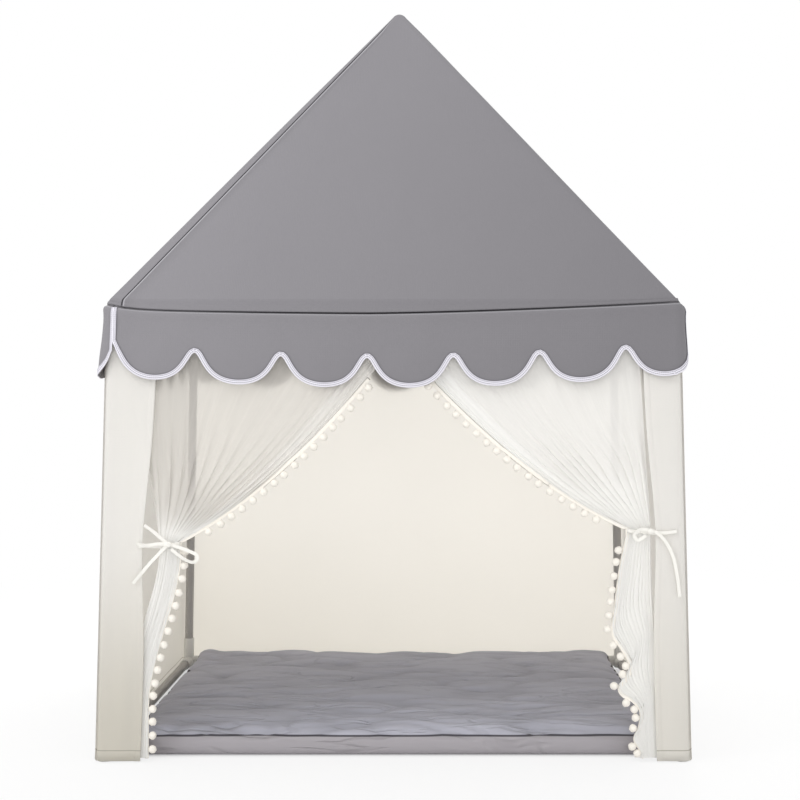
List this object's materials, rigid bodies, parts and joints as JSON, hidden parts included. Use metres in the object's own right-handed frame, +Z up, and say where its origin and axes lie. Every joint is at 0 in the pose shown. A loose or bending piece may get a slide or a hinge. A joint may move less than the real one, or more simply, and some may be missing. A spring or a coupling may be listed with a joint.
{
  "type": "play tent",
  "caption": "Square play tent with a scalloped pyramid roof, white walls, tied-back sheer curtains with pom-pom trim and a padded floor mat.",
  "frame": {"origin": "on the floor, under the apex, in the middle of the footprint", "axes": "+Z up, +X to the right seen from the front, the open door faces -Y"},
  "size_m": [1.1998, 0.9998, 1.6354],
  "materials": {
    "roof_cloth": "matt woven grey canvas",
    "binding": "matt white bias tape with two stitch rows",
    "white_cotton": "matt woven white cotton",
    "sheer_voile": "sheer off-white voile that lets light through",
    "pompom": "fluffy cream yarn",
    "tie_tape": "matt off-white cotton tape",
    "pole_tube": "smooth grey plastic tube",
    "connector_plastic": "moulded off-white plastic",
    "mat_cotton": "wrinkled blue-grey cotton over padding"
  },
  "bodies": {
    "tent_frame": {"back_base_rail": "pole_tube", "back_eave_rail": "pole_tube", "back_left_base_connector": "connector_plastic", "back_left_eave_connector": "connector_plastic", "back_left_post": "pole_tube", "back_left_rafter": "pole_tube", "back_right_base_connector": "connector_plastic", "back_right_eave_connector": "connector_plastic", "back_right_post": "pole_tube", "back_right_rafter": "pole_tube", "back_wall": "white_cotton", "crown_connector": "connector_plastic", "front_eave_rail": "pole_tube", "front_header": "white_cotton", "front_left_base_connector": "connector_plastic", "front_left_eave_connector": "connector_plastic", "front_left_post": "pole_tube", "front_left_rafter": "pole_tube", "front_right_base_connector": "connector_plastic", "front_right_eave_connector": "connector_plastic", "front_right_post": "pole_tube", "front_right_rafter": "pole_tube", "left_base_rail": "pole_tube", "left_bow": "tie_tape", "left_curtain": "sheer_voile", "left_eave_rail": "pole_tube", "left_jamb": "white_cotton", "left_pompom_trim": "pompom", "left_tie": "tie_tape", "left_wall": "white_cotton", "right_base_rail": "pole_tube", "right_bow": "tie_tape", "right_curtain": "sheer_voile", "right_eave_rail": "pole_tube", "right_jamb": "white_cotton", "right_pompom_trim": "pompom", "right_tie": "tie_tape", "right_wall": "white_cotton"},
    "roof_cover": {"back_roof_panel": "roof_cloth", "back_valance": "roof_cloth", "back_valance_binding": "binding", "front_roof_panel": "roof_cloth", "front_valance": "roof_cloth", "front_valance_binding": "binding", "left_roof_panel": "roof_cloth", "left_valance": "roof_cloth", "left_valance_binding": "binding", "right_roof_panel": "roof_cloth", "right_valance": "roof_cloth", "right_valance_binding": "binding"},
    "mat": {"floor_mat": "mat_cotton"}
  },
  "joints": [
    {"name": "roof_lift", "type": "slide", "parent": "tent_frame", "child": "roof_cover", "axis": [0, 0, 1], "range_m": [0, 0.88]},
    {"name": "mat_lift", "type": "slide", "parent": "tent_frame", "child": "mat", "axis": [0, 0, 1], "range_m": [0, 0.3]}
  ]
}
